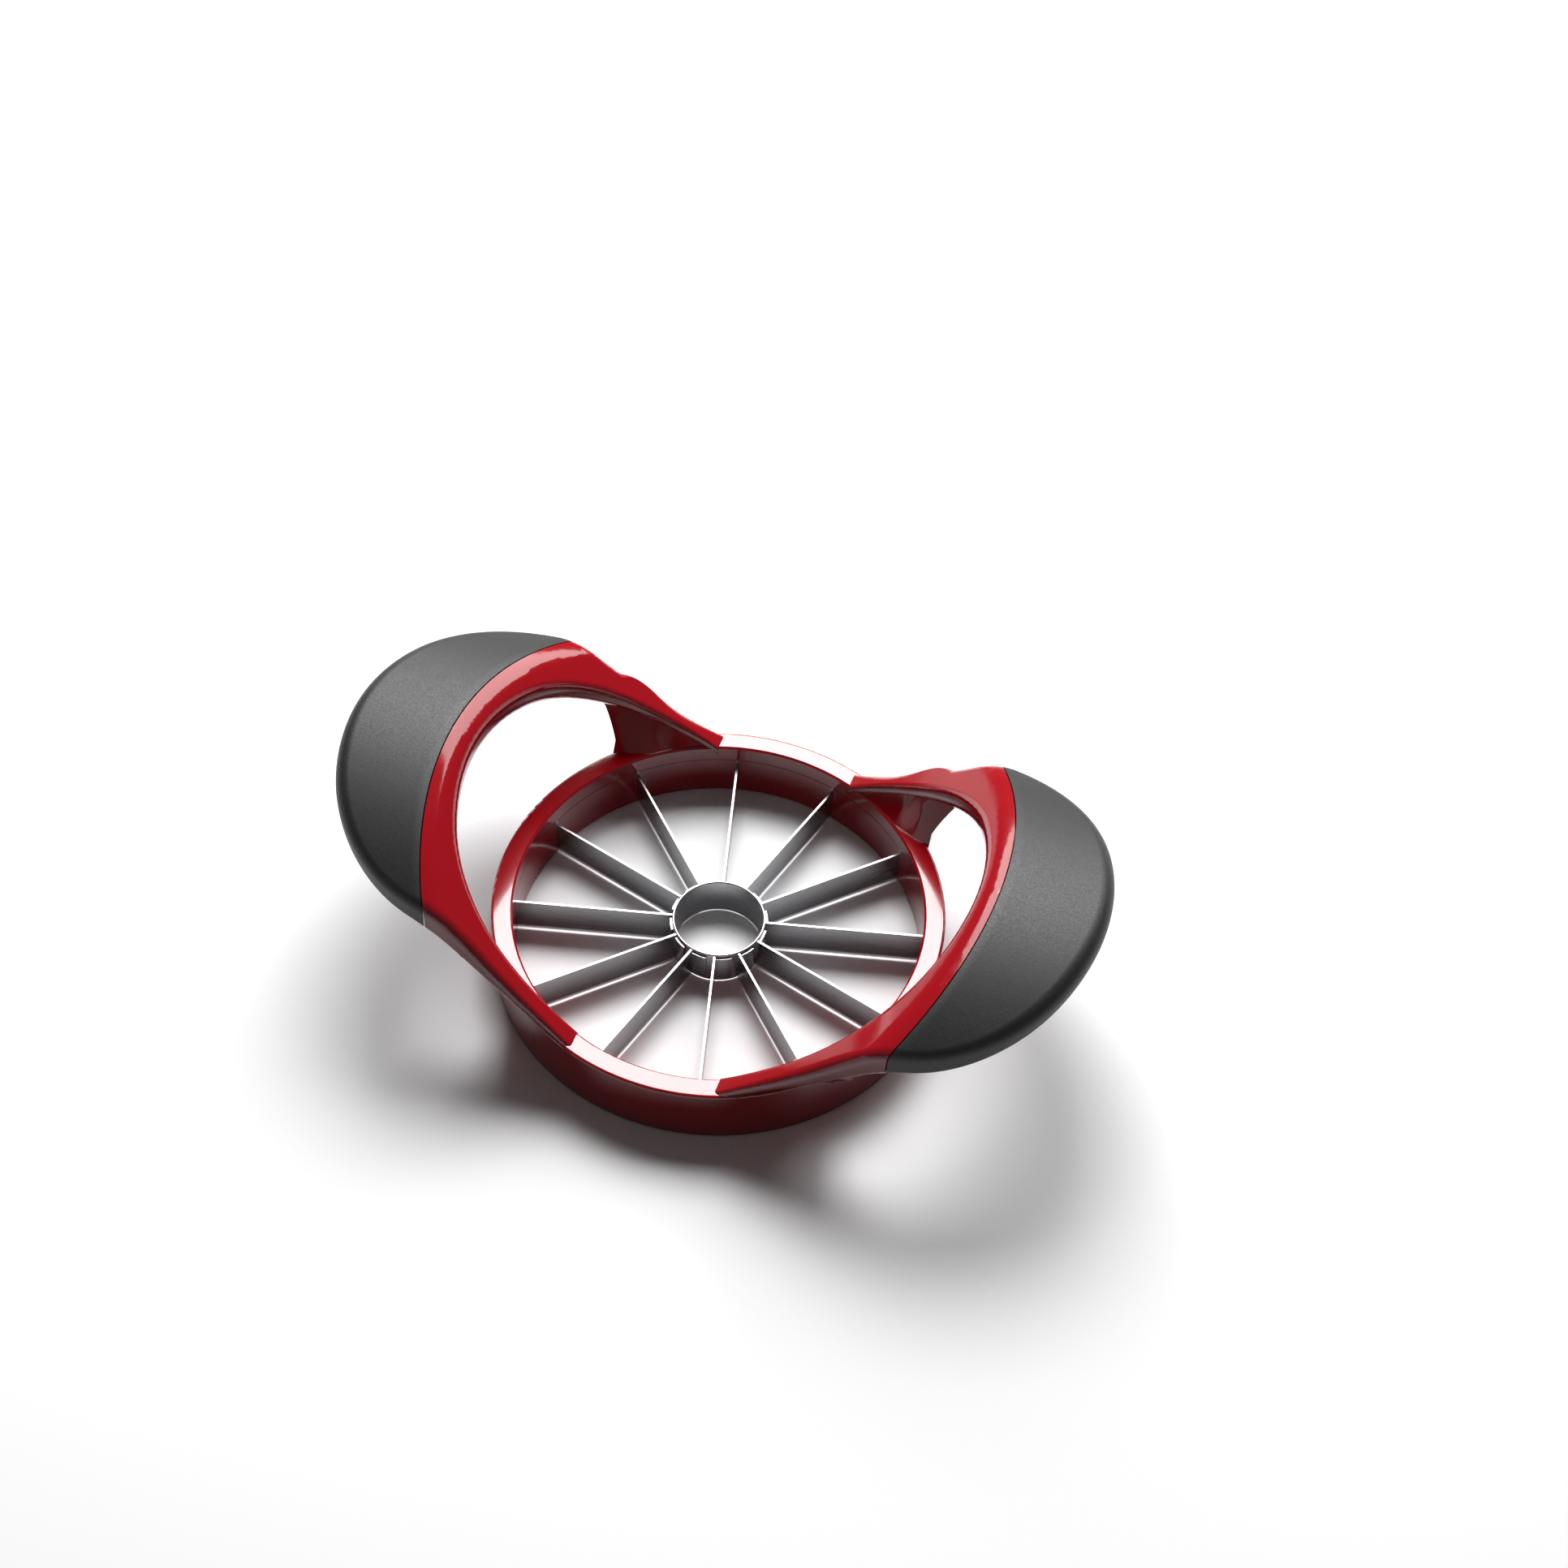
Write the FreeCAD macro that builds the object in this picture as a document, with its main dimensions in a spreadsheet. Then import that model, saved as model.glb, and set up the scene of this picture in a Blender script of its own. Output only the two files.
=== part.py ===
import FreeCAD, Part
import math
import os
import re
import Sketcher

Vector = FreeCAD.Vector
doc = FreeCAD.newDocument("AppleSlicer")

# Driving dimensions in millimetres and degrees. Heights are above the table.
DIMENSIONS = [
    ("bore_radius", 50.0, "cutting opening, inside the ring"),
    ("ring_radius", 55.2, "outside of the ring"),
    ("ring_top", 16.8, "height of the flat rim"),
    ("rim_round", 0.7, "rounding of the rim's outer corner"),
    ("rim_chamfer", 0.5, "chamfer on the rim's inner corner"),
    ("parting_height", 12.2, "joint between frame and base ring"),
    ("skirt_inside", 53.0, "inside of the frame's skirt"),
    ("skirt_bottom", 0.4, "lower edge of the skirt"),
    ("snap_height", 4.6, "lower edge of the snap bead"),
    ("snap_width", 1.6, "height of the snap bead"),
    ("snap_depth", 0.4, "how far the bead stands out"),
    ("slip", 0.05, "play between fitted pieces"),
    ("blade_count", 12.0, "cutting blades"),
    ("blade_start", 15.0, "angle of the first blade from the handles' axis"),
    ("blade_thick", 0.5, "blade strip"),
    ("blade_bottom", 0.5, "cutting edge"),
    ("blade_top", 10.9, "back of the blade"),
    ("bevel_height", 1.3, "ground cutting bevel"),
    ("edge_thick", 0.1, "flat left on the cutting edge"),
    ("seat_bottom", 1.6, "floor of the blade seats in the base ring"),
    ("seat_depth", 1.6, "how far a blade enters the base ring"),
    ("anchor_length", 3.4, "bent outer end of a blade"),
    ("core_radius", 11.5, "outside of the coring tube"),
    ("core_wall", 0.7, "wall of the coring tube"),
    ("core_bottom", 0.2, "cutting edge of the coring tube"),
    ("core_top", 11.2, "upper edge of the coring tube"),
    ("tab_angle", 20.0, "arc of the welding tab on the coring tube"),
    ("tab_bottom", 2.2, "lower edge of the welding tab"),
    ("tab_top", 10.3, "upper edge of the welding tab"),
    ("crease_x", 17.7, "where the flat rim turns up into the wings"),
    ("ramp_slope", 0.72, "rise of the arms next to the crease, per unit of length"),
    ("ramp_mid_x", 30.0, "end of the straight rise"),
    ("ramp_high_x", 41.0, "point of the steeper rise above"),
    ("ramp_high_z", 34.2, "height there"),
    ("ramp_end_x", 74.0, "end of the ramp's line, above the handle"),
    ("ramp_end_z", 63.0, "height there"),
    ("arm_depth", 2.8, "depth of the arm at the crease"),
    ("belly_x", 40.0, "end of the arm's straight underside"),
    ("belly_z", 27.2, "height there"),
    ("sole_x", 74.0, "end of the underside's line"),
    ("sole_z", 51.5, "height there"),
    ("crown_z", 55.6, "height of the handle's crowned top, on the axis"),
    ("crown_radius", 95.0, "crown of the handle's top across the axis"),
    ("handle_thick", 7.5, "thickness of the handle"),
    ("ridge_round", 10.0, "rounding between ramp and crowned top"),
    ("ridge_round_low", 8.0, "rounding between them on the underside"),
    ("tip_x", 92.4, "reach of the handle"),
    ("cheek_x", 88.3, "where the round tip meets the flank"),
    ("cheek_y", 20.5, "half width there"),
    ("shoulder_x", 54.0, "where the flank meets the arm"),
    ("shoulder_y", 45.2, "half width there"),
    ("arm_x", 42.0, "point on the arm's outer edge"),
    ("arm_y", 46.9, "half width there"),
    ("crease_y", 51.4, "outer edge of the arm at the crease"),
    ("edge_round", 0.8, "smallest rounding, along the thin edges"),
    ("arm_round", 1.0, "rounding of the arm's upper outer edge at the crease"),
    ("arm_round_low", 1.2, "rounding of the arm's lower outer edge"),
    ("shoulder_round", 3.3, "rounding of the upper outer edge at the shoulder"),
    ("shoulder_round_low", 2.0, "rounding of the lower outer edge at the shoulder"),
    ("tip_round", 3.8, "rounding of the grip's upper edge at the tip"),
    ("tip_round_low", 3.0, "rounding of the grip's lower edge at the tip"),
    ("eye_x", 61.8, "far end of the hand hole"),
    ("eye_nose_x", 57.4, "where the hand hole's end meets its corner"),
    ("eye_nose_y", 21.5, "half width there"),
    ("eye_side_x", 38.0, "where the corner meets the side"),
    ("eye_side_y", 41.0, "half width there"),
    ("eye_y", 46.4, "hand hole's edge at the crease"),
    ("eye_round", 3.4, "rounding of the hand hole's edges at its far end"),
    ("joint_x", 67.0, "joint between frame and grip on the axis"),
    ("joint_side_x", 52.3, "end of the joint's arc"),
    ("joint_side_y", 50.0, "half width there"),
    ("joint_gap", 0.3, "open line between frame and grip"),
    ("tongue_inset", 3.4, "rubber over the tongue's edge"),
    ("tongue_cover", 2.2, "rubber over and under the tongue"),
    ("tongue_root", 2.0, "how far the tongue runs back into the frame"),
    ("web_thick", 2.2, "thickness of the wall under the arm"),
    ("web_lean", 28.0, "lean of that wall over the ring"),
    ("web_top_z", 16.3, "top of the wall at the crease, inside the arm"),
    ("web_foot_x", 42.3, "where the wall leaves the ring"),
    ("web_foot_z", 15.3, "lower end of the wall outside the ring"),
    ("web_step_z", 19.4, "top of the short upright edge there"),
    ("web_mid_x", 46.2, "point on the wall's rising edge"),
    ("web_mid_z", 27.0, "height there"),
    ("web_end_x", 54.0, "end of the wall's rising edge"),
    ("web_end_z", 36.2, "height there"),
    ("web_inset", 1.6, "how far the wall stays inside the arm's outer edge"),
    ("foot_angle", 40.0, "half of the bore's arc that the wall's foot follows"),
    ("foot_bend_x", 38.0, "where the foot crosses the rim"),
    ("foot_bend_y", 36.0, "half width there"),
    ("foot_side_x", 44.0, "foot of the wall outside the ring"),
    ("foot_side_y", 35.0, "half width there"),
    ("foot_turn_x", 48.7, "where the foot's line turns in"),
    ("foot_turn_y", 32.0, "half width there"),
    ("foot_end_x", 51.5, "last point of the foot's line"),
    ("foot_end_y", 27.0, "half width there"),
]

sheet = doc.addObject("Spreadsheet::Sheet", "Sizes")
for row, (alias, number, meaning) in enumerate(DIMENSIONS, start=1):
    sheet.set("A%d" % row, meaning)
    sheet.set("B%d" % row, str(number))
    sheet.setAlias("B%d" % row, alias)
doc.recompute()


def linked(text):
    """The same expression with every alias written as a cell of the sheet."""
    names = [alias for alias, _, _ in DIMENSIONS]
    return re.sub(r"[a-z_]+", lambda m: "Sizes." + m[0] if m[0] in names else m[0], text)


def value(text):
    """Number that an expression of the sheet gives now."""
    return float(sheet.evalExpression(linked(text)))


def sketch_on(body, role, name):
    """New sketch on one of the body's own origin planes."""
    plane = [f for f in body.Origin.OriginFeatures if f.Role == role][0]
    sketch = body.newObject("Sketcher::SketchObject", name)
    sketch.AttachmentSupport = (plane, "")
    sketch.MapMode = "FlatFace"
    return sketch


def hold(sketch, geometry, end, x, y):
    """Tie one point of a sketch to two expressions of the sheet."""
    for kind, text in (("DistanceX", x), ("DistanceY", y)):
        number = sketch.addConstraint(
            Sketcher.Constraint(kind, -1, 1, geometry, end, value(text)))
        sketch.setExpression("Constraints[%d]" % number, linked(text))


def point(corner):
    return Vector(value(corner[0]), value(corner[1]), 0)


def negative(text):
    return "-(%s)" % text


def mirrored(corners):
    return [(x, negative(y)) for x, y in corners]


def smooth_arc(start, heading, end):
    """Middle point and last heading of the arc that leaves start along heading."""
    along = (end - start).normalize()
    last = along * (2 * heading.dot(along)) - heading
    bend = math.atan2(heading.cross(last).z, heading.dot(last)) / 2
    rise = (end - start).Length / 2 * math.tan(bend / 2)
    return (start + end) / 2 + Vector(along.y, -along.x, 0) * rise, last


def draw_run(sketch, corners, heading=None):
    """Run of pieces from corner to corner: arcs that join without a corner, after a
    first straight piece if no heading is given. Returns (geometry, tail, head) of each."""
    run = []
    for start, end in zip(corners, corners[1:]):
        here, there = point(start), point(end)
        if heading is None:
            heading = (there - here).normalize()
            piece = (sketch.addGeometry(Part.LineSegment(here, there)), 1, 2)
        else:
            turns_left = heading.cross(there - here).z > 0
            middle, heading = smooth_arc(here, heading, there)
            ends = (here, there) if turns_left else (there, here)
            number = sketch.addGeometry(Part.Arc(ends[0], middle, ends[1]))
            piece = (number, 1, 2) if turns_left else (number, 2, 1)
        if run:
            sketch.addConstraint(
                Sketcher.Constraint("Tangent", run[-1][0], run[-1][2], piece[0], piece[1]))
        else:
            hold(sketch, piece[0], piece[1], *start)
        hold(sketch, piece[0], piece[2], *end)
        run.append(piece)
    return run


def close_line(sketch, end_a, corners, end_b):
    """Straight pieces through the corners, from the end of one run to the start of another."""
    before = end_a
    for start, end in zip(corners, corners[1:]):
        number = sketch.addGeometry(Part.LineSegment(point(start), point(end)))
        sketch.addConstraint(Sketcher.Constraint("Coincident", number, 1, *before))
        if end is not corners[-1]:
            hold(sketch, number, 2, *end)
        before = (number, 2)
    sketch.addConstraint(Sketcher.Constraint("Coincident", *before, *end_b))


def d_outline(sketch, corners):
    """D-shaped outline about the X axis: round nose at the first corner, flat back."""
    lower = mirrored(corners)
    above = draw_run(sketch, corners, Vector(0, 1, 0))
    below = draw_run(sketch, [corners[0]] + lower[1:], Vector(0, -1, 0))
    for run in (above, below):
        sketch.addConstraint(Sketcher.Constraint("PointOnObject", run[0][0], 3, -1))
    close_line(sketch, (above[-1][0], above[-1][2]), [corners[-1], lower[-1]],
               (below[-1][0], below[-1][2]))


def outline(sketch, start, steps):
    """Closed outline. A step is (x, y) for a line or (mid x, mid y, x, y) for an arc."""
    here = point(start)
    drawn = []
    for step in steps:
        there = point(step[-2:])
        if len(step) == 2:
            piece = (sketch.addGeometry(Part.LineSegment(here, there)), 1, 2)
        else:
            middle = point(step[:2])
            turns_left = (middle - here).cross(there - middle).z > 0
            ends = (here, there) if turns_left else (there, here)
            number = sketch.addGeometry(Part.Arc(ends[0], middle, ends[1]))
            piece = (number, 1, 2) if turns_left else (number, 2, 1)
            via = sketch.addGeometry(Part.Point(middle), True)
            hold(sketch, via, 1, *step[:2])
            sketch.addConstraint(Sketcher.Constraint("PointOnObject", via, 1, number))
        hold(sketch, piece[0], piece[2], *step[-2:])
        drawn.append(piece)
        here = there
    for piece, before in zip(drawn, drawn[-1:] + drawn[:-1]):
        sketch.addConstraint(Sketcher.Constraint("Coincident", piece[0], piece[1], before[0], before[2]))


def pad(body, sketch, name, length, midplane=False):
    """Extrude a sketch; the length is an expression."""
    feature = body.newObject("PartDesign::Pad", name)
    feature.Profile = sketch
    feature.setExpression("Length", linked(length))
    feature.Midplane = midplane
    sketch.Visibility = False
    return feature


def revolve(body, name, start, steps):
    """Turn a half-section (radius, height) round the Z axis."""
    sketch = sketch_on(body, "XZ_Plane", name + "_section")
    outline(sketch, start, steps)
    feature = body.newObject("PartDesign::Revolution", name)
    feature.Profile = sketch
    feature.ReferenceAxis = (sketch, ["V_Axis"])
    feature.Angle = 360
    return feature


def new_body(name):
    body = doc.addObject("PartDesign::Body", name)
    body.Label = name
    return body


def extrude(name, role, start, steps, length, midplane=False):
    """Body with one sketch and one pad."""
    body = new_body(name)
    sketch = sketch_on(body, role, name + "_outline")
    outline(sketch, start, steps)
    pad(body, sketch, name + "_pad", length, midplane)
    return body


def d_prism(name, corners):
    """Upright prism over a D-shaped plan, higher than the handles."""
    body = new_body(name)
    sketch = sketch_on(body, "XY_Plane", name + "_plan")
    d_outline(sketch, corners)
    pad(body, sketch, name + "_pad", "crown_z + 10")
    return body


def boolean(kind, name, base, tool):
    """Part::Cut, Part::Fuse or Part::Common of two objects."""
    result = doc.addObject("Part::" + kind, name)
    result.Base = base
    result.Tool = tool
    result.Label = name
    return result


def edges_on(item, skins, wanted):
    """Numbers of the wanted edges that lie on all the skins."""
    found = []
    for number, edge in enumerate(item.Shape.Edges, start=1):
        first, last = edge.ParameterRange
        spots = [edge.valueAt(first + (last - first) * part) for part in (0.1, 0.5, 0.9)]
        if not all(wanted(spot) for spot in spots):
            continue
        gaps = [Part.Vertex(spot).distToShape(skin)[0] for spot in spots for skin in skins]
        if max(gaps) < 0.001:
            found.append(number)
    return found


def fillet(name, base, numbers, radius_at):
    """Part::Fillet of the numbered edges, with the radius that applies at each end."""
    result = doc.addObject("Part::Fillet", name)
    result.Base = base
    edges = []
    for number in numbers:
        edge = base.Shape.Edges[number - 1]
        ends = [round(radius_at(edge.valueAt(at)), 2) for at in edge.ParameterRange]
        edges.append((number, *ends))
    result.Edges = edges
    result.Label = name
    return result


# --------------------------------------------------------------- upper frame
def make_frame_ring():
    """Flat rim and plain skirt of the frame, with a groove for the base ring's bead."""
    body = new_body("frame_ring")
    revolve(body, "frame_ring_turn", ("bore_radius", "parting_height"), [
        ("bore_radius", "ring_top - rim_chamfer"),
        ("bore_radius + rim_chamfer", "ring_top"),
        ("ring_radius - rim_round", "ring_top"),
        ("ring_radius - rim_round * 0.293", "ring_top - rim_round * 0.293",
         "ring_radius", "ring_top - rim_round"),
        ("ring_radius", "skirt_bottom"),
        ("skirt_inside", "skirt_bottom"),
        ("skirt_inside", "snap_height"),
        ("skirt_inside + snap_depth", "snap_height"),
        ("skirt_inside + snap_depth", "snap_height + snap_width"),
        ("skirt_inside", "snap_height + snap_width"),
        ("skirt_inside", "parting_height"),
        ("bore_radius", "parting_height"),
    ])
    return body


def under_ramp(name, corners, drop, floor):
    """Everything below a line that rises along the arms, down to floor."""
    body = new_body(name)
    sketch = sketch_on(body, "XZ_Plane", name + "_profile")
    corners = [(x, "%s - (%s)" % (z, drop)) for x, z in corners]
    run = draw_run(sketch, corners)
    back = [(corners[-1][0], corners[-1][1]), ("tip_x + 4", corners[-1][1]),
            ("tip_x + 4", floor), ("crease_x", floor), corners[0]]
    close_line(sketch, (run[-1][0], run[-1][2]), back, (run[0][0], run[0][1]))
    pad(body, sketch, name + "_pad", "2 * crease_y + 2", True)
    return body


def under_crown(name, drop, floor):
    """Everything below the crown of the handle, lowered by drop."""
    top = "crown_z - (%s)" % drop
    radius = "(crown_radius - (%s))" % drop
    side = "%s - %s + sqrt(%s^2 - (crease_y + 1)^2)" % (top, radius, radius)
    return extrude(name, "YZ_Plane", ("-(crease_y + 1)", floor), [
        ("-(crease_y + 1)", side),
        ("0", top, "crease_y + 1", side),
        ("crease_y + 1", floor),
        ("-(crease_y + 1)", floor),
    ], "tip_x + 4")


def handle_block(name, corners, ramp_drop, crown_drop, rounding, floor):
    """Ramp and crown together, with the ridge between them rounded."""
    ramp = under_ramp(name + "_ramp", corners, ramp_drop, floor)
    crown = under_crown(name + "_crown", crown_drop, floor)
    block = boolean("Common", name + "_block", ramp, crown)
    doc.recompute()
    ridge = [number for number, edge in enumerate(block.Shape.Edges, start=1)
             if is_ridge(edge)]
    return fillet(name, block, ridge, lambda spot: value(rounding))


def is_ridge(edge):
    """Whether an edge crosses the axis high up, short of the handle's end."""
    box = edge.BoundBox
    return box.YLength > 2 * value("crease_y") and box.ZMax > value("sole_z") - 8 \
        and box.XMax < value("tip_x")


def handle_slab(name, cover):
    """Arms and handle as one bent slab; cover thins it from above and below."""
    upper = handle_block(name + "_upper", [
        ("crease_x", "ring_top"),
        ("ramp_mid_x", "ring_top + ramp_slope * (ramp_mid_x - crease_x)"),
        ("ramp_high_x", "ramp_high_z"),
        ("ramp_end_x", "ramp_end_z"),
    ], cover, cover, "ridge_round", "5")
    lower = handle_block(name + "_lower", [
        ("crease_x", "ring_top - arm_depth"),
        ("belly_x", "belly_z"),
        ("sole_x", "sole_z"),
    ], negative(cover), "handle_thick - (%s)" % cover, "ridge_round_low", "4")
    return boolean("Cut", name, upper, lower)


def wing_plan(name, inset):
    """Outer edge of arm and handle seen from above, moved in by inset."""
    return d_prism(name, [
        ("tip_x - " + inset, "0"),
        ("cheek_x - 0.9 * " + inset, "cheek_y - 0.4 * " + inset),
        ("shoulder_x - 0.1 * " + inset, "shoulder_y - " + inset),
        ("arm_x", "arm_y - " + inset),
        ("crease_x", "crease_y - " + inset),
    ])


def make_eye():
    """The hand hole, straight down."""
    return d_prism("eye", [
        ("eye_x", "0"),
        ("eye_nose_x", "eye_nose_y"),
        ("eye_side_x", "eye_side_y"),
        ("crease_x", "eye_y"),
    ])


def web_core(name, cover):
    """Leaning solid over the foot line of the web, grown by cover."""
    body = new_body(name)
    sketch = sketch_on(body, "XY_Plane", name + "_plan")
    sketch.setExpression("AttachmentOffset.Base.z", linked("web_foot_z"))
    foot = "(bore_radius + %s)" % cover
    middle = (foot + " * sin(foot_angle / 2)", foot + " * cos(foot_angle / 2)")
    edge = (foot + " * sin(foot_angle)", foot + " * cos(foot_angle)")
    bend, side, turn, end = [
        ("foot_%s_x + %s" % (spot, cover), "foot_%s_y + %s" % (spot, cover))
        for spot in ("bend", "side", "turn", "end")]
    below = mirrored([middle, edge, bend, side, turn, end])
    outline(sketch, ("0", negative(foot)), [
        below[0] + below[1], *below[2:], end, turn, side, bend, edge,
        middle + ("0", foot), ("0", negative(foot))])
    rise = pad(body, sketch, name + "_rise", "web_end_z + 4 - web_foot_z")
    rise.setExpression("TaperAngle", linked("web_lean"))
    return body


def make_web():
    """Wall that carries the arm's inner edge down onto the ring, leaning outwards."""
    side = extrude("web_side", "XZ_Plane", ("crease_x", "web_top_z"), [
        ("web_end_x", "web_end_z + 2"),
        ("web_end_x", "web_end_z"),
        ("web_mid_x", "web_mid_z", "web_foot_x", "web_step_z"),
        ("web_foot_x", "web_foot_z"),
        ("crease_x", "web_foot_z"),
        ("crease_x", "web_top_z"),
    ], "2 * ring_radius", True)
    wall = boolean("Cut", "web_wall", web_core("web_outer", "web_thick"), web_core("web_inner", "0"))
    under_arm = boolean("Common", "web_under_arm", wall, side)
    return boolean("Common", "web", under_arm, wing_plan("web_plan", "web_inset"))


def grip_zone(name, gap):
    """Everything beyond the joint's arc, where the rubber begins."""
    return extrude(name, "XY_Plane", ("joint_side_x + " + gap, "-joint_side_y"), [
        ("joint_x + " + gap, "0", "joint_side_x + " + gap, "joint_side_y"),
        ("tip_x + 10", "joint_side_y"),
        ("tip_x + 10", "-joint_side_y"),
        ("joint_side_x + " + gap, "-joint_side_y"),
    ], "crown_z + 10")


def side_wall(prism):
    """Side faces of an upright prism."""
    upright = []
    for face in prism.Shape.Faces:
        u0, u1, v0, v1 = face.ParameterRange
        if abs(face.normalAt((u0 + u1) / 2, (v0 + v1) / 2).z) < 0.5:
            upright.append(face)
    return Part.Compound(upright)


def slab_skin(slab):
    """Upper and lower faces of the slab."""
    upper = []
    lower = []
    for face in slab.Shape.Faces:
        u0, u1, v0, v1 = face.ParameterRange
        normal = face.normalAt((u0 + u1) / 2, (v0 + v1) / 2)
        if abs(normal.z) > 0.3:
            (upper if normal.z > 0 else lower).append(face)
    return Part.Compound(upper), Part.Compound(lower)


def off_crease(spot):
    """Whether a point is clear of the crease, where the arms join the ring."""
    return spot.x > value("crease_x") + 0.001


def changing(stations):
    """Radius that changes evenly along X between stations, each (X, radius)."""
    stations = [(value(x), value(size)) for x, size in stations]

    def radius_at(spot):
        for (x0, r0), (x1, r1) in zip(stations, stations[1:]):
            if spot.x <= x1:
                share = max(spot.x - x0, 0) / (x1 - x0)
                return r0 * (1 - share) + r1 * share
        return stations[-1][1]
    return radius_at


def make_wing():
    """Red arms and band of one side, and the rubber grip beyond the joint."""
    plan = wing_plan("wing_plan", "0")
    slab = handle_slab("slab", "0")
    eye = make_eye()
    loop = boolean("Cut", "wing_loop", boolean("Common", "wing_blank", plan, slab), eye)
    doc.recompute()
    upper, lower = slab_skin(slab)
    outer_wall = side_wall(plan)
    eye_wall = side_wall(eye)
    eye_radii = [("crease_x", "edge_round"), ("eye_nose_x", "eye_round")]
    rounded = loop
    for name, skins, radii in (
        ("outer_upper", [outer_wall, upper], [
            ("crease_x", "arm_round"), ("shoulder_x", "shoulder_round"), ("tip_x", "tip_round")]),
        ("outer_lower", [outer_wall, lower], [
            ("crease_x", "arm_round_low"), ("arm_x", "arm_round_low"),
            ("shoulder_x", "shoulder_round_low"), ("tip_x", "tip_round_low")]),
        ("eye_upper", [eye_wall, upper], eye_radii),
        ("eye_lower", [eye_wall, lower], eye_radii),
    ):
        rounded = fillet(name, rounded, edges_on(rounded, skins, off_crease), changing(radii))
        doc.recompute()
    arms = boolean("Cut", "arms", rounded, grip_zone("red_zone", "0"))
    webbed = boolean("Fuse", "arms_webbed", arms, make_web())
    tongue_blank = boolean("Common", "tongue_blank", wing_plan("tongue_plan", "tongue_inset"),
                           handle_slab("tongue_slab", "tongue_cover"))
    tongue = boolean("Common", "tongue", tongue_blank, grip_zone("tongue_zone", "-tongue_root"))
    wing = boolean("Fuse", "wing", webbed, tongue)
    grip_outer = boolean("Common", "grip_outer", rounded, grip_zone("black_zone", "joint_gap"))
    return wing, boolean("Cut", "grip_right", grip_outer, tongue)


def mirror_x(name, source):
    other = doc.addObject("Part::Mirroring", name)
    other.Source = source
    other.Normal = Vector(1, 0, 0)
    other.Label = name
    return other


def make_frame_and_grips():
    wing, grip = make_wing()
    frame = doc.addObject("Part::MultiFuse", "upper_frame")
    frame.Shapes = [make_frame_ring(), wing, mirror_x("wing_left", wing)]
    frame.Refine = True
    frame.Label = "upper_frame"
    return [frame, grip, mirror_x("grip_left", grip)]


# ----------------------------------------------------------------- base ring
def make_base_ring():
    """Inner ring from below: it carries the blades' ends and snaps into the skirt."""
    body = new_body("base_ring")
    revolve(body, "base_ring_turn", ("bore_radius + rim_chamfer", "0"), [
        ("skirt_inside - slip", "0"),
        ("skirt_inside - slip", "snap_height + slip"),
        ("skirt_inside + snap_depth - slip", "snap_height + slip"),
        ("skirt_inside + snap_depth - slip", "snap_height + snap_width / 2"),
        ("skirt_inside - slip", "snap_height + snap_width - slip"),
        ("skirt_inside - slip", "parting_height"),
        ("bore_radius + rim_chamfer / 2", "parting_height"),
        ("bore_radius", "parting_height - rim_chamfer / 2"),
        ("bore_radius", "rim_chamfer"),
        ("bore_radius + rim_chamfer", "0"),
    ])
    doc.recompute()
    seat = sketch_on(body, "XY_Plane", "seat_plan")
    seat.setExpression("AttachmentOffset.Base.z", linked("seat_bottom"))
    half = "blade_thick / 2 + slip / 2"
    far = "bore_radius + seat_depth + slip"
    near = "bore_radius + seat_depth - blade_thick - slip"
    end = "blade_thick / 2 + anchor_length + slip"
    outline(seat, ("bore_radius - 1", negative(half)), [
        (far, negative(half)),
        (far, end),
        (near, end),
        (near, half),
        ("bore_radius - 1", half),
        ("bore_radius - 1", negative(half)),
    ])
    cut = body.newObject("PartDesign::Pocket", "seat")
    cut.Profile = seat
    cut.Reversed = True
    cut.setExpression("Length", linked("parting_height"))
    doc.recompute()
    ring = body.newObject("PartDesign::PolarPattern", "seats")
    ring.Originals = [cut]
    ring.Axis = (seat, ["N_Axis"])
    ring.Angle = 360
    ring.Occurrences = round(value("blade_count"))
    body.Tip = ring
    body.setExpression("Placement.Rotation.Angle", linked("blade_start"))
    return body


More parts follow.
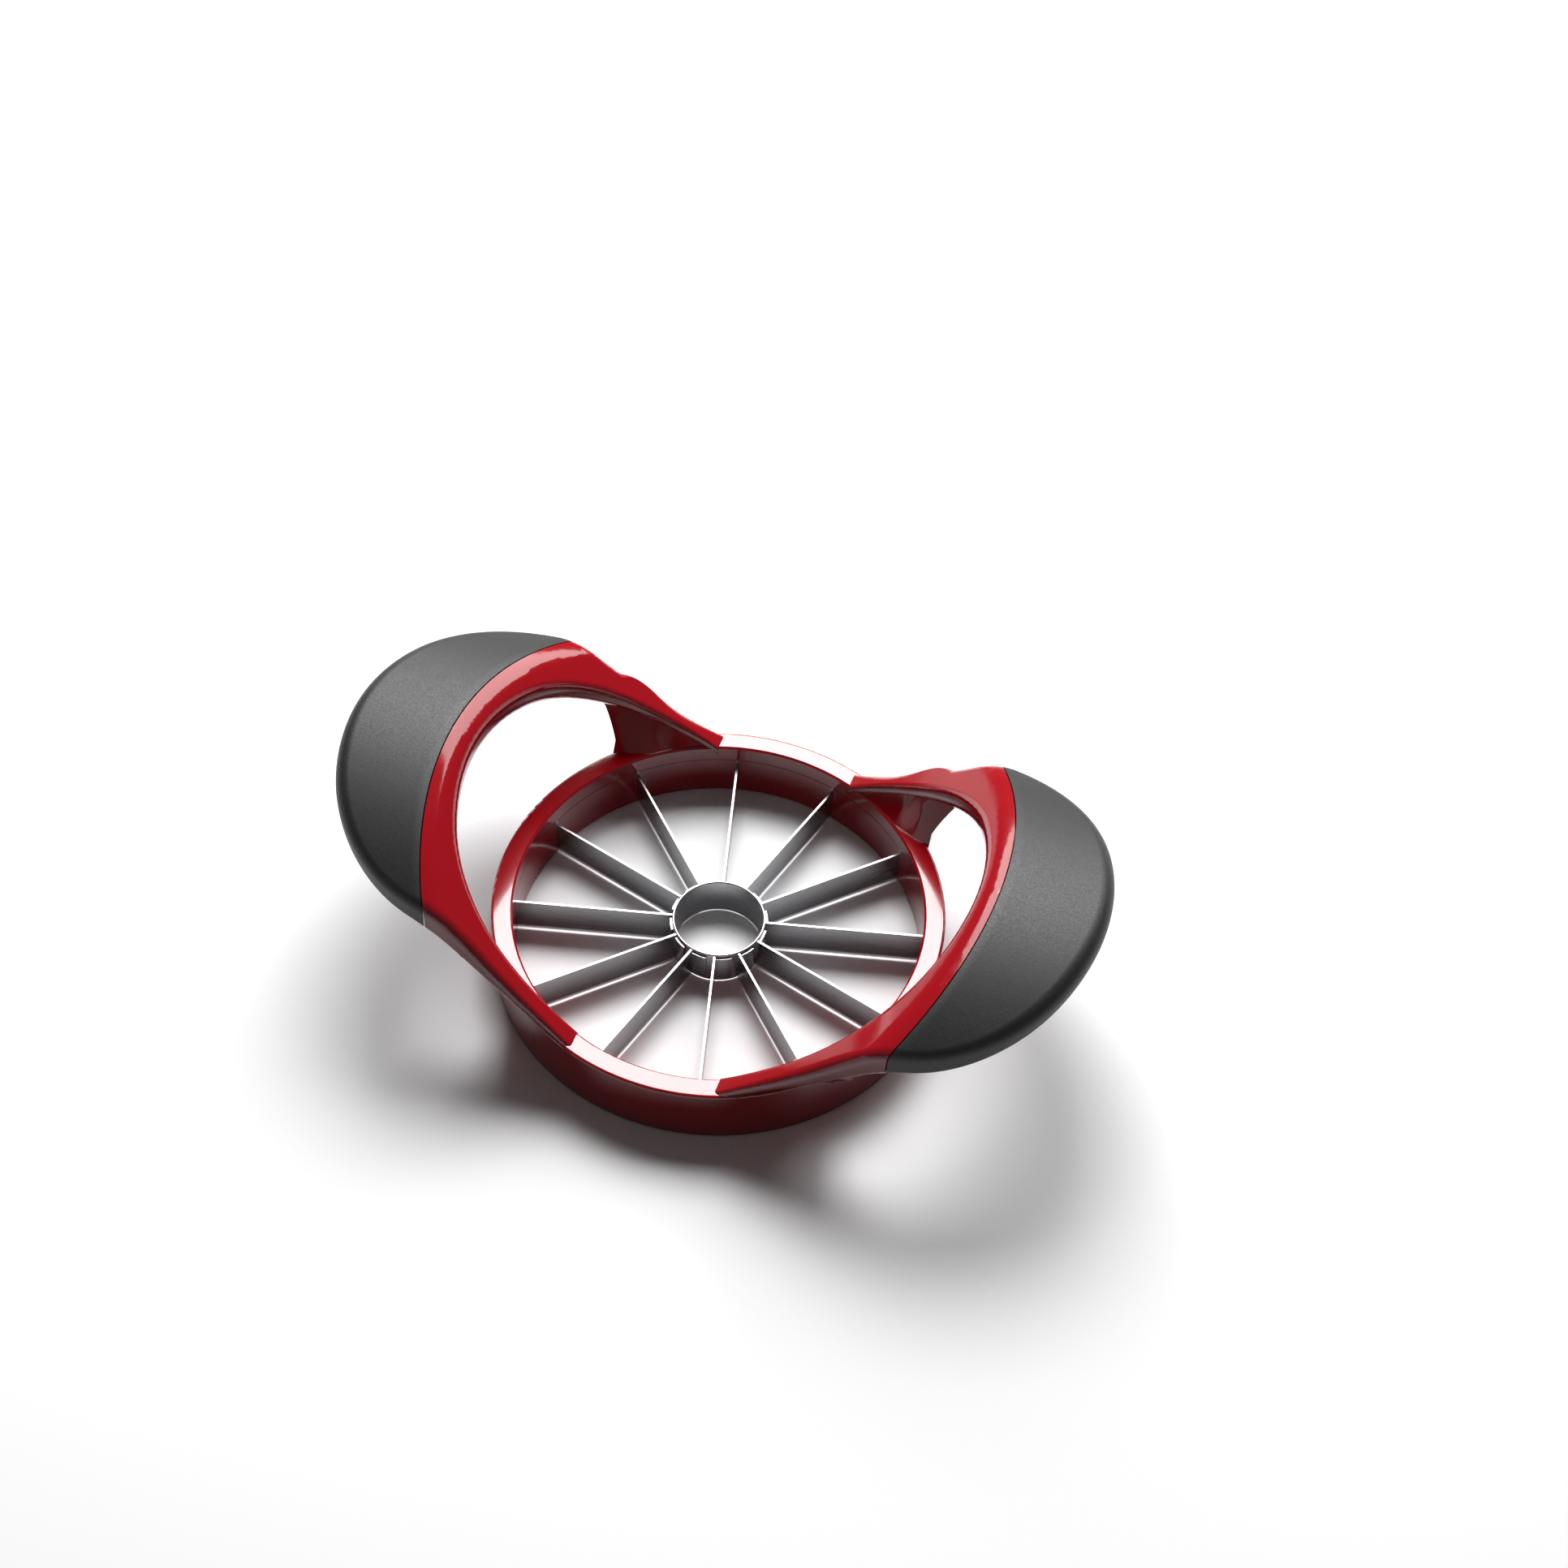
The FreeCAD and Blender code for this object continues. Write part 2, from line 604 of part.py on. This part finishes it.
# -------------------------------------------------------------------- blades
def make_blade(number):
    """Strip with a ground lower edge, a welded inner tab and a bent outer end."""
    name = "blade_%02d" % number
    body = new_body(name)
    section = sketch_on(body, "YZ_Plane", name + "_section")
    section.setExpression("AttachmentOffset.Base.z", linked("core_radius"))
    half = "blade_thick / 2"
    tip = "edge_thick / 2"
    outline(section, (negative(half), "blade_top"), [
        (negative(half), "blade_bottom + bevel_height"),
        (negative(tip), "blade_bottom"),
        (tip, "blade_bottom"),
        (half, "blade_bottom + bevel_height"),
        (half, "blade_top"),
        (negative(half), "blade_top"),
    ])
    pad(body, section, name + "_strip", "bore_radius - core_radius")
    anchor = sketch_on(body, "XY_Plane", name + "_anchor_plan")
    anchor.setExpression("AttachmentOffset.Base.z", linked("seat_bottom"))
    far = "bore_radius + seat_depth"
    outline(anchor, ("bore_radius", negative(half)), [
        (far, negative(half)),
        (far, half + " + anchor_length"),
        (far + " - blade_thick", half + " + anchor_length"),
        (far + " - blade_thick", half),
        ("bore_radius", half),
        ("bore_radius", negative(half)),
    ])
    pad(body, anchor, name + "_anchor", "parting_height - seat_bottom")
    tab = sketch_on(body, "XY_Plane", name + "_tab_plan")
    tab.setExpression("AttachmentOffset.Base.z", linked("tab_bottom"))
    inner = "core_radius"
    outer = "(core_radius + blade_thick)"
    outline(tab, (inner, "0"), [
        (outer, "0"),
        (outer + " * cos(tab_angle / 2)", outer + " * sin(tab_angle / 2)",
         outer + " * cos(tab_angle)", outer + " * sin(tab_angle)"),
        (inner + " * cos(tab_angle)", inner + " * sin(tab_angle)"),
        (inner + " * cos(tab_angle / 2)", inner + " * sin(tab_angle / 2)", inner, "0"),
    ])
    pad(body, tab, name + "_tab", "tab_top - tab_bottom")
    turn = "blade_start + %d * 360 / blade_count" % (number - 1)
    body.setExpression("Placement.Rotation.Angle", linked(turn))
    return body


def make_core_ring():
    """Coring tube, sharpened outside along its lower edge, with a rounded top."""
    body = new_body("core_ring")
    revolve(body, "core_ring_turn", ("core_radius - core_wall", "core_bottom"), [
        ("core_radius - core_wall + edge_thick", "core_bottom"),
        ("core_radius", "core_bottom + bevel_height"),
        ("core_radius", "core_top - core_wall / 2"),
        ("core_radius - core_wall / 2", "core_top",
         "core_radius - core_wall", "core_top - core_wall / 2"),
        ("core_radius - core_wall", "core_bottom"),
    ])
    return body


def check(objects):
    """Stop on any failed feature or bad solid."""
    for item in doc.Objects:
        if "Invalid" in item.State or "Error" in item.State:
            raise RuntimeError("%s failed: %s" % (item.Name, item.State))
    for item in objects:
        shape = item.Shape
        if shape.isNull() or not shape.isValid() or not shape.Solids:
            raise RuntimeError(item.Label + " has no valid solid")


parts = make_frame_and_grips()
parts.append(make_base_ring())
parts.append(make_core_ring())
parts += [make_blade(number) for number in range(1, round(value("blade_count")) + 1)]
doc.recompute()
check(parts)
os.makedirs("parts", exist_ok=True)
for item in parts:
    item.Shape.exportStep("parts/%s.step" % item.Label)
    print(item.Label, len(item.Shape.Solids), round(item.Shape.Volume, 1))
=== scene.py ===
import math

import bmesh
import bpy
from mathutils import Matrix, Vector


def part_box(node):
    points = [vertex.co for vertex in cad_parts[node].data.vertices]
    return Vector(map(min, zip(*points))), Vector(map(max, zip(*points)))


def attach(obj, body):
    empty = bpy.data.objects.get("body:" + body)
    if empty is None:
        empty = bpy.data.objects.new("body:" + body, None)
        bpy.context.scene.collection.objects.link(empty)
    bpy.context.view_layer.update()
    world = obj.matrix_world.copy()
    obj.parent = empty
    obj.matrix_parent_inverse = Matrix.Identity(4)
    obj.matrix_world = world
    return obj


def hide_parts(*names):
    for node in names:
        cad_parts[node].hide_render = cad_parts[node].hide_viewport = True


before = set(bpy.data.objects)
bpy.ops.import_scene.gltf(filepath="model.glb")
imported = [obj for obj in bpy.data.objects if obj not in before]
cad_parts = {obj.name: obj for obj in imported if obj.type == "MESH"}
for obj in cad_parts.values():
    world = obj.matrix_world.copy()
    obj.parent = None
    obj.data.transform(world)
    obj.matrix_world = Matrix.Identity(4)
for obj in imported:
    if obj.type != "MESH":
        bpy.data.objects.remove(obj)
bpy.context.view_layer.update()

# ---------------------------------------------------------------- upper frame
# One injection moulding in candy-red ABS: flat rim and plain skirt of the ring, and two
# raised loops that carry on as tongues under the grips. The grips are moulded over its
# ends, and the base ring snaps into it from below.
MM = 0.001
ABS_RED = "A20314"
RIPPLE_MM = (9.0, 9.0, 9.0)


def linear(colour):
    """sRGB hex to linear RGBA."""
    levels = [int(colour[i:i + 2], 16) / 255 for i in (0, 2, 4)]
    return [c / 12.92 if c <= 0.04045 else ((c + 0.055) / 1.055) ** 2.4 for c in levels] + [1]


def add_node(tree, kind, settings=None, ordered=(), **links):
    """Add a node. Settings are attributes or input values, by name or number; links and
    ordered are sockets for its inputs, by name or in their order."""
    node = tree.nodes.new(kind)
    for name, setting in (settings or {}).items():
        if isinstance(name, str) and hasattr(node, name):
            setattr(node, name, setting)
        else:
            node.inputs[name].default_value = setting
    for number, socket in enumerate(ordered):
        tree.links.new(socket, node.inputs[number])
    for name, socket in links.items():
        tree.links.new(socket, node.inputs[name.replace("_", " ")])
    return node


def new_material(name, colour, **sockets):
    """Principled material; colour and sockets are constants on the shader itself."""
    material = bpy.data.materials.new(name)
    material.use_nodes = True
    shader = material.node_tree.nodes["Principled BSDF"]
    shader.inputs["Base Color"].default_value = linear(colour)
    for socket, setting in sockets.items():
        shader.inputs[socket.replace("_", " ")].default_value = setting
    return material


NOISE_LOW, NOISE_HIGH = 0.3, 0.7  # nearly all of a noise texture's values lie between


def add_marks(material, size_mm, detail, depth_mm, strength, roughness, attribute=None):
    """Cover a material with noise whose marks are size_mm long in x, y and z: a relief,
    and a roughness that runs with it from the first value to the second. The noise lies
    in the piece's own coordinates, or in those of an attribute."""
    tree = material.node_tree
    shader = tree.nodes["Principled BSDF"]
    if attribute:
        place = add_node(tree, "ShaderNodeAttribute", {"attribute_name": attribute})
    else:
        place = add_node(tree, "ShaderNodeTexCoord")
    scaled = add_node(tree, "ShaderNodeMapping", {"Scale": [1 / (size * MM) for size in size_mm]},
                      Vector=place.outputs["Vector" if attribute else "Object"])
    noise = add_node(tree, "ShaderNodeTexNoise", {"Scale": 1.0, "Detail": detail},
                     Vector=scaled.outputs["Vector"]).outputs["Fac"]
    bump = add_node(tree, "ShaderNodeBump", {"Strength": strength, "Distance": depth_mm * MM},
                    Height=noise)
    spread = add_node(tree, "ShaderNodeMapRange",
                      {"From Min": NOISE_LOW, "From Max": NOISE_HIGH,
                       "To Min": roughness[0], "To Max": roughness[1]}, Value=noise)
    tree.links.new(bump.outputs["Normal"], shader.inputs["Normal"])
    tree.links.new(spread.outputs["Result"], shader.inputs["Roughness"])


# ABS from a polished tool: a hard, clear gloss over deep red, so that the rim and the
# rounded edges mirror the light above while the flanks stay dark. The ripple is the
# slight unevenness of a moulded wall.
red_abs = new_material("moulded_red_abs", ABS_RED, IOR=1.52, Coat_Weight=0.3, Coat_Roughness=0.04)
add_marks(red_abs, RIPPLE_MM, detail=1.0, depth_mm=0.02, strength=0.25, roughness=(0.10, 0.14))

FLAT_DEGREES = 0.3  # faces whose directions differ by less make one flat patch


def flat_patches(work):
    """Number of each face's flat patch, and the area of every patch."""
    flat_cosine = math.cos(math.radians(FLAT_DEGREES))
    patch, areas = {}, []
    for first in work.faces:
        if first.index in patch:
            continue
        patch[first.index] = len(areas)
        area, reached = 0.0, [first]
        while reached:
            here = reached.pop()
            area += here.calc_area()
            for there in (face for edge in here.edges for face in edge.link_faces):
                if there.index not in patch and there.normal.dot(first.normal) > flat_cosine:
                    patch[there.index] = len(areas)
                    reached.append(there)
        areas.append(area)
    return patch, areas


def shade(mesh, sharp_degrees):
    """Smooth shading in which flat patches stay flat: a corner leans towards the larger
    of the patches that meet there, but never across a sharp edge."""
    work = bmesh.new()
    work.from_mesh(mesh)
    patch, areas = flat_patches(work)
    sharp_cosine = math.cos(math.radians(sharp_degrees))
    normals = []
    for face in work.faces:
        for corner in face.loops:
            lean, counted = Vector((0, 0, 0)), set()
            for other in corner.vert.link_faces:
                its_patch = patch[other.index]
                if its_patch not in counted and other.normal.dot(face.normal) > sharp_cosine:
                    counted.add(its_patch)
                    lean += other.normal * areas[its_patch]
            normals.append(lean.normalized())
    work.free()
    mesh.shade_smooth()
    mesh.normals_split_custom_set(normals)


SAME_PLACE_MM = 0.001  # corners nearer to each other than this are merged


def merged_copy(node, name, sharp_degrees=30):
    """Smooth-shaded copy of a CAD node with its doubles merged."""
    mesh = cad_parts[node].data.copy()
    mesh.name = name
    mesh.materials.clear()
    work = bmesh.new()
    work.from_mesh(mesh)
    bmesh.ops.remove_doubles(work, verts=work.verts, dist=SAME_PLACE_MM * MM)
    work.to_mesh(mesh)
    work.free()
    shade(mesh, sharp_degrees)
    piece = bpy.data.objects.new(name, mesh)
    bpy.context.scene.collection.objects.link(piece)
    return piece


def finish_piece(piece, nodes, material=None):
    """Hang a piece on the root body, hide the CAD nodes it takes the place of, and give it a
    material if one is passed.
    """
    if material:
        piece.data.materials.append(material)
    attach(piece, "root")
    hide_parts(*nodes)


red_frame = merged_copy("upper_frame", "red_frame")
finish_piece(red_frame, ["upper_frame"], red_abs)

# ------------------------------------------------------------------ base ring
# Second moulding in the same ABS, snapped into the skirt from below. Its slots, which
# the frame closes from above, hold the blades' ends, and its bore is the lower part of
# the glossy wall round the cutting opening.
inner_ring = merged_copy("base_ring", "inner_ring")
finish_piece(inner_ring, ["base_ring"], red_abs)

# ---------------------------------------------------------------------- grips
# Two grips of charcoal rubber, moulded over the tongues at the frame's outer ends. They
# are level with the arms where they begin, but for a fine open line in between.
RUBBER_CHARCOAL = "1C1D1D"
GRAIN_MM = (0.5, 0.5, 0.5)

# Soft-touch thermoplastic rubber from a spark-eroded tool: the tool's fine grain leaves
# only a broad, dull sheen. A real grain of 0.25 mm is drawn twice as coarse, so that it
# shows.
rubber = new_material("soft_touch_rubber", RUBBER_CHARCOAL, IOR=1.5)
add_marks(rubber, GRAIN_MM, detail=2.0, depth_mm=0.03, strength=0.5, roughness=(0.44, 0.56))

for side in ("right", "left"):
    grip = merged_copy("grip_" + side, "rubber_grip_" + side)
    finish_piece(grip, ["grip_" + side], rubber)

# --------------------------------------------------------------------- blades
# Twelve strips of stainless steel, ground along their lower edges. Each is welded by a
# bent tab to the coring tube, and its other end is hooked into a slot of the base ring.
BLADES = [name for name in sorted(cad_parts) if name.startswith("blade_")]
FIRST_BLADE_DEGREES = 15.0
BLADE_SHARP_DEGREES = 6
GROUND_HEIGHT = 1.3 * MM
# The second grey, for the ground edge, is lighter than the strip as a painted highlight.
STEEL_GREY, GROUND_HIGHLIGHT_GREY = "9A9A9C", "E8E8EA"
BRUSH_MM = (6.0, 0.4, 0.12)
GRIND_MM = (0.15, 0.4, 0.8)
STRIP_PLACE = "strip_place"

# Stainless strip, rolled and brushed lengthwise: a grey metal whose reflections are drawn
# out along the blade. Brush lines of about 0.04 mm are drawn three times as coarse, so
# that they show.
steel = new_material("brushed_stainless", STEEL_GREY, Metallic=1.0)
add_marks(steel, BRUSH_MM, detail=3.0, depth_mm=0.01, strength=0.3, roughness=(0.24, 0.36),
          attribute=STRIP_PLACE)

# The same steel, freshly ground to an edge and marked across the blade. Its lighter grey is a
# painted highlight, standing in for the bright reflection along the edge. Marks of about 0.05 mm
# are drawn three times as coarse, so that they show.
ground_steel_highlight = new_material("ground_stainless_edge_painted_highlight", GROUND_HIGHLIGHT_GREY, Metallic=1.0)
add_marks(ground_steel_highlight, GRIND_MM, detail=2.0, depth_mm=0.01, strength=0.3, roughness=(0.3, 0.4),
          attribute=STRIP_PLACE)

# The tree takes one strip, turns it back onto the x axis and keeps its place there for the
# brushing, then sets it round the coring tube and gives the ground edge the lighter steel, a
# painted highlight.
blade_tree = bpy.data.node_groups.new("blades_round_core", "GeometryNodeTree")
for label, socket, way in (
    ("Strip", "NodeSocketGeometry", "INPUT"),
    ("Count", "NodeSocketInt", "INPUT"),
    ("First angle", "NodeSocketFloat", "INPUT"),
    ("Ground up to", "NodeSocketFloat", "INPUT"),
    ("Steel", "NodeSocketMaterial", "INPUT"),
    ("Ground steel highlight", "NodeSocketMaterial", "INPUT"),
    ("Blades", "NodeSocketGeometry", "OUTPUT"),
):
    blade_tree.interface.new_socket(name=label, in_out=way, socket_type=socket)
given = add_node(blade_tree, "NodeGroupInput").outputs

turned_back = add_node(blade_tree, "ShaderNodeMath", {"operation": "MULTIPLY", 1: -1.0},
                       [given["First angle"]])
back_angle = add_node(blade_tree, "ShaderNodeCombineXYZ", Z=turned_back.outputs[0])
along_x = add_node(blade_tree, "GeometryNodeTransform", Geometry=given["Strip"],
                   Rotation=back_angle.outputs[0])
place_on_strip = add_node(blade_tree, "GeometryNodeInputPosition")
strip = add_node(blade_tree, "GeometryNodeStoreNamedAttribute",
                 {"data_type": "FLOAT_VECTOR", "domain": "POINT", "Name": STRIP_PLACE},
                 Geometry=along_x.outputs[0], Value=place_on_strip.outputs[0])

spots = add_node(blade_tree, "GeometryNodePoints", Count=given["Count"])
blade_number = add_node(blade_tree, "GeometryNodeInputIndex")
share_of_turn = add_node(blade_tree, "ShaderNodeMath", {"operation": "DIVIDE"},
                         [blade_number.outputs[0], given["Count"]])
blade_turn = add_node(blade_tree, "ShaderNodeMath", {"operation": "MULTIPLY_ADD", 1: 2 * math.pi},
                      [share_of_turn.outputs[0]])
blade_tree.links.new(given["First angle"], blade_turn.inputs[2])
blade_angle = add_node(blade_tree, "ShaderNodeCombineXYZ", Z=blade_turn.outputs[0])
fan = add_node(blade_tree, "GeometryNodeInstanceOnPoints", Points=spots.outputs[0],
               Instance=strip.outputs[0], Rotation=blade_angle.outputs[0])
real_strips = add_node(blade_tree, "GeometryNodeRealizeInstances", Geometry=fan.outputs[0])

place_in_fan = add_node(blade_tree, "GeometryNodeInputPosition")
height = add_node(blade_tree, "ShaderNodeSeparateXYZ", Vector=place_in_fan.outputs[0])
# Below this height the strip takes the ground steel, whose lighter grey is a painted highlight.
is_ground_highlit_edge = add_node(blade_tree, "FunctionNodeCompare",
                     {"data_type": "FLOAT", "operation": "LESS_THAN"},
                     A=height.outputs["Z"], B=given["Ground up to"])
all_steel = add_node(blade_tree, "GeometryNodeSetMaterial", Geometry=real_strips.outputs[0],
                     Material=given["Steel"])
with_highlit_edges = add_node(blade_tree, "GeometryNodeSetMaterial", Geometry=all_steel.outputs[0],
                      Selection=is_ground_highlit_edge.outputs[0], Material=given["Ground steel highlight"])
add_node(blade_tree, "NodeGroupOutput", Blades=with_highlit_edges.outputs[0])

blades = merged_copy(BLADES[0], "steel_blades", BLADE_SHARP_DEGREES)
fan_out = blades.modifiers.new("fan_out", "NODES")
fan_out.node_group = blade_tree
edge_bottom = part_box(BLADES[0])[0][2]
for label, setting in (
    ("Count", len(BLADES)),
    ("First angle", math.radians(FIRST_BLADE_DEGREES)),
    ("Ground up to", edge_bottom + GROUND_HEIGHT),
    ("Steel", steel),
    ("Ground steel highlight", ground_steel_highlight),
):
    fan_out[blade_tree.interface.items_tree[label].identifier] = setting
evaluated = blades.evaluated_get(bpy.context.evaluated_depsgraph_get())
all_blades = bpy.data.meshes.new_from_object(evaluated)
blades.modifiers.clear()
blades.data = all_blades
finish_piece(blades, BLADES)

# ---------------------------------------------------------------- coring tube
# Short stainless tube, ground sharp along its lower edge and rounded along its upper
# one. The blades' tabs are welded round it.
TUBE_GREY = "B4B4B6"
RINGS_MM = (3.0, 3.0, 0.2)

# Drawn stainless tube, polished as it spins: smoother than the strip, with fine rings.
# Rings of about 0.05 mm are drawn four times as coarse, so that they show.
tube_steel = new_material("drawn_stainless_tube", TUBE_GREY, Metallic=1.0)
add_marks(tube_steel, RINGS_MM, detail=2.0, depth_mm=0.01, strength=0.3, roughness=(0.2, 0.3))
coring_tube = merged_copy("core_ring", "coring_tube")
finish_piece(coring_tube, ["core_ring"], tube_steel)

# ---------------------------------------------------------------------- floor
# Plain pale studio floor. The eye and the reflections see it near white, but it passes
# on light as a middle grey would, so the press keeps its dark undersides.
FLOOR_WHITE, FLOOR_PASSED_ON = "FAFAFB", "808080"
FLOOR_SIZE = 8.0


def seen_directly(tree):
    """1 for camera, glossy and transmission rays, 0 for the light that surfaces pass on."""
    rays = add_node(tree, "ShaderNodeLightPath").outputs
    seen = rays["Is Camera Ray"]
    for kind in ("Is Glossy Ray", "Is Transmission Ray"):
        seen = add_node(tree, "ShaderNodeMath", {"operation": "MAXIMUM"},
                        [seen, rays[kind]]).outputs[0]
    return seen


# Matt painted board: even and dull, with no gloss of its own.
floor_paint = new_material("studio_floor", FLOOR_WHITE, Roughness=0.9, Specular_IOR_Level=0.0)
tree = floor_paint.node_tree
passed_on = add_node(tree, "ShaderNodeBsdfDiffuse", {"Color": linear(FLOOR_PASSED_ON)})
floor_mix = add_node(tree, "ShaderNodeMixShader", None,
                     [seen_directly(tree), passed_on.outputs[0],
                      tree.nodes["Principled BSDF"].outputs[0]])
tree.links.new(floor_mix.outputs[0], tree.nodes["Material Output"].inputs["Surface"])
bpy.ops.mesh.primitive_plane_add(size=FLOOR_SIZE)
floor = bpy.context.object
floor.name = "floor"
floor.data.materials.append(floor_paint)

# ------------------------------------------------------------- backdrop, lamps
# White backdrop, which reflections see white at the horizon and dim overhead. Its own
# light is only a faint fill: two softboxes behind the press, a small near one and a
# wide far one, do the rest.
FILL_STRENGTH = 0.06
OVERHEAD_STRENGTH = 0.12
HORIZON_HEIGHT = 0.12
LAMP_TARGET = Vector((0, 0, 0.02))
SOFTBOXES = {
    "back_softbox": {"at": (-0.15, 0.41, 0.67), "size": (0.36, 0.36), "watts": 4.6},
    "wide_softbox": {"at": (-0.1, 0.84, 0.86), "size": (1.6, 0.8), "watts": 19.0},
}

world = bpy.data.worlds.new("studio")
bpy.context.scene.world = world
world.use_nodes = True
tree = world.node_tree
tree.nodes.clear()
direction = add_node(tree, "ShaderNodeTexCoord")
rise = add_node(tree, "ShaderNodeSeparateXYZ", Vector=direction.outputs["Generated"])
fade = add_node(tree, "ShaderNodeMapRange",
                {"interpolation_type": "SMOOTHSTEP", "From Min": 0.0,
                 "From Max": HORIZON_HEIGHT, "To Min": 1.0, "To Max": OVERHEAD_STRENGTH},
                Value=rise.outputs["Z"])
rays = add_node(tree, "ShaderNodeLightPath")
brightness = add_node(tree, "ShaderNodeMath", {"operation": "MAXIMUM"},
                      [fade.outputs[0], rays.outputs["Is Camera Ray"]])
fill = add_node(tree, "ShaderNodeBackground", {"Color": (1, 1, 1, 1), "Strength": FILL_STRENGTH})
backdrop = add_node(tree, "ShaderNodeBackground", {"Color": (1, 1, 1, 1)},
                    Strength=brightness.outputs[0])
world_mix = add_node(tree, "ShaderNodeMixShader", None,
                     [seen_directly(tree), fill.outputs[0], backdrop.outputs[0]])
add_node(tree, "ShaderNodeOutputWorld", Surface=world_mix.outputs[0])

for name, box in SOFTBOXES.items():
    light = bpy.data.lights.new(name, "AREA")
    light.shape = "RECTANGLE"
    light.size, light.size_y = box["size"]
    light.energy = box["watts"]
    lamp = bpy.data.objects.new(name, light)
    bpy.context.scene.collection.objects.link(lamp)
    lamp.location = box["at"]
    aim = LAMP_TARGET - Vector(box["at"])
    lamp.rotation_euler = aim.to_track_quat("-Z", "Y").to_euler()

# --------------------------------------------------------------------- camera
# Looks down on the press from in front, a little from the right, and rolled slightly.
# Its focal length and centre are given in pixels of a square frame.
EYE = Vector((0.11153, -0.32262, 0.47343))
AZIMUTH, ELEVATION, ROLL = math.radians(15.303), math.radians(50.918), math.radians(4.645)
FRAME_PX, FOCAL_PX = 1932, 2886.365
CENTRE_PX = (1009.456, 1004.491)
SENSOR_MM = 36.0

back = Vector((math.sin(AZIMUTH) * math.cos(ELEVATION),
               -math.cos(AZIMUTH) * math.cos(ELEVATION), math.sin(ELEVATION)))
level_right = Vector((math.cos(AZIMUTH), math.sin(AZIMUTH), 0))
level_up = back.cross(level_right)
right = level_right * math.cos(ROLL) + level_up * math.sin(ROLL)
up = level_up * math.cos(ROLL) - level_right * math.sin(ROLL)
lens = bpy.data.cameras.new("camera")
lens.sensor_width = SENSOR_MM
lens.lens = FOCAL_PX / FRAME_PX * SENSOR_MM
lens.shift_x = (FRAME_PX / 2 - CENTRE_PX[0]) / FRAME_PX
lens.shift_y = (CENTRE_PX[1] - FRAME_PX / 2) / FRAME_PX
camera = bpy.data.objects.new("camera", lens)
bpy.context.scene.collection.objects.link(camera)
facing = Matrix((right, up, back)).transposed().to_4x4()
camera.matrix_world = Matrix.Translation(EYE) @ facing
bpy.context.scene.camera = camera
bpy.context.scene.view_settings.view_transform = "Standard"
